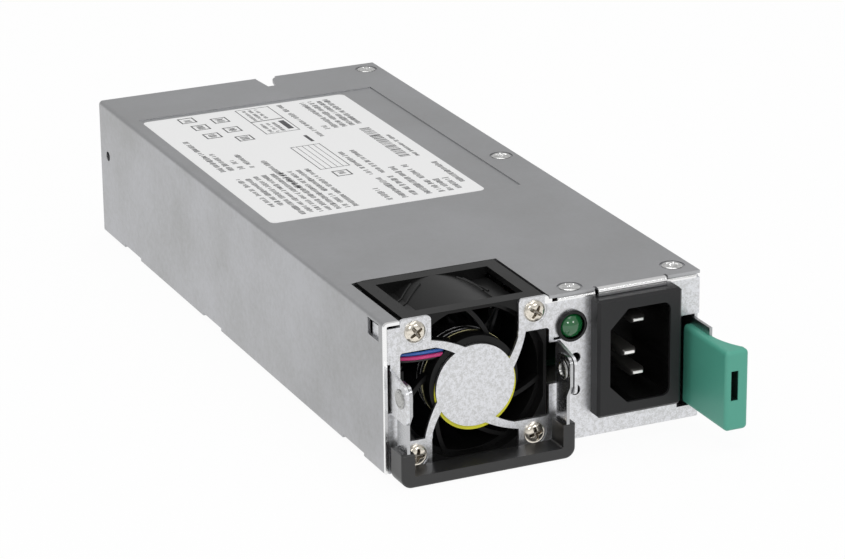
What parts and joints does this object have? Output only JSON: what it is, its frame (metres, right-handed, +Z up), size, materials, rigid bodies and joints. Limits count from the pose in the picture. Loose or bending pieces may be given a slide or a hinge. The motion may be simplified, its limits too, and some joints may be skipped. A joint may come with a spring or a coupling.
{
  "type": "hot swap server power supply",
  "caption": "Slim sheet-steel power supply for a server bay, with a guarded fan, appliance inlet, swinging bail handle and sprung release latch.",
  "frame": {"origin": "centre of the case's underside", "axes": "+X to the right seen from the handle end, +Y towards the card edge that plugs into the server, +Z up"},
  "size_m": [0.0887, 0.2318, 0.0406],
  "materials": {
    "galvanised_steel": "galvanised sheet, faint spangle",
    "cover_steel": "plated sheet, matt grey",
    "zinc_screw": "zinc plated",
    "nickel_screw": "nickel plated, warm",
    "fan_plastic": "black glass-filled plastic",
    "yellow_sticker": "printed film",
    "lead_blue": "lead insulation",
    "lead_red": "lead insulation",
    "lead_black": "lead insulation",
    "white_nylon": "nylon",
    "inlet_plastic": "black thermoplastic, satin",
    "nickel_blade": "nickel plated brass",
    "holder_plastic": "black plastic",
    "green_lens": "tinted lens",
    "spring_steel": "spring steel",
    "board_green": "solder mask",
    "film": "insulating film",
    "brass_post": "plain brass",
    "gold": "gold flash",
    "capacitor_sleeve": "shrink sleeve",
    "winding_copper": "enamelled copper",
    "ferrite": "sintered ferrite",
    "tape_yellow": "polyester tape",
    "sink_aluminium": "extruded",
    "capacitor_can": "drawn can",
    "label_white": "coated paper",
    "grip_plastic": "black plastic, satin",
    "cap_green": "moulded plastic, fine texture"
  },
  "bodies": {
    "case": {"base_pan": "galvanised_steel", "rear_wall": "galvanised_steel", "top_cover": "cover_steel", "front_panel": "galvanised_steel", "cover_screws": "zinc_screw", "fan_screws": "nickel_screw", "fan_frame": "fan_plastic", "fan_label": "yellow_sticker", "fan_lead_blue": "lead_blue", "fan_lead_red": "lead_red", "fan_lead_black": "lead_black", "fan_plug": "white_nylon", "inlet_housing": "inlet_plastic", "line_blade": "nickel_blade", "neutral_blade": "nickel_blade", "earth_blade": "nickel_blade", "led_holder": "holder_plastic", "led_lens": "green_lens", "handle_rivets": "zinc_screw", "latch_spring": "spring_steel", "latch_rivets": "zinc_screw", "main_board": "board_green", "insulator_sheet": "film", "standoffs": "brass_post", "board_screws": "zinc_screw", "output_board": "board_green", "contact_fingers": "gold", "board_spacers": "brass_post", "bulk_capacitor": "capacitor_sleeve", "filter_choke": "winding_copper", "boost_choke": "winding_copper", "transformer_core": "ferrite", "transformer_winding": "tape_yellow", "transformer_foot": "fan_plastic", "input_heat_sink": "sink_aluminium", "output_heat_sink": "sink_aluminium", "output_capacitors": "capacitor_can", "rating_label": "label_white"},
    "fan_blades": {"fan_rotor": "fan_plastic"},
    "handle": {"handle_frame": "galvanised_steel", "handle_grip": "grip_plastic"},
    "latch": {"latch_lever": "spring_steel", "latch_cap": "cap_green", "latch_tooth": "spring_steel"}
  },
  "joints": [
    {"name": "fan_spin", "type": "hinge", "parent": "case", "child": "fan_blades", "pos_m": [-0.0188, -0.08, 0.0197], "axis": [0, 1, 0], "continuous": true},
    {"name": "handle_swing", "type": "hinge", "parent": "case", "child": "handle", "pos_m": [-0.01875, -0.106, 0.0217], "axis": [-1, 0, 0], "range_deg": [0, 90]},
    {"name": "latch_press", "type": "hinge", "parent": "case", "child": "latch", "pos_m": [0.0416, -0.055, 0.0155], "axis": [0, 0, -1], "range_deg": [0, 2.2], "stiffness_Nm_per_rad": 6}
  ]
}
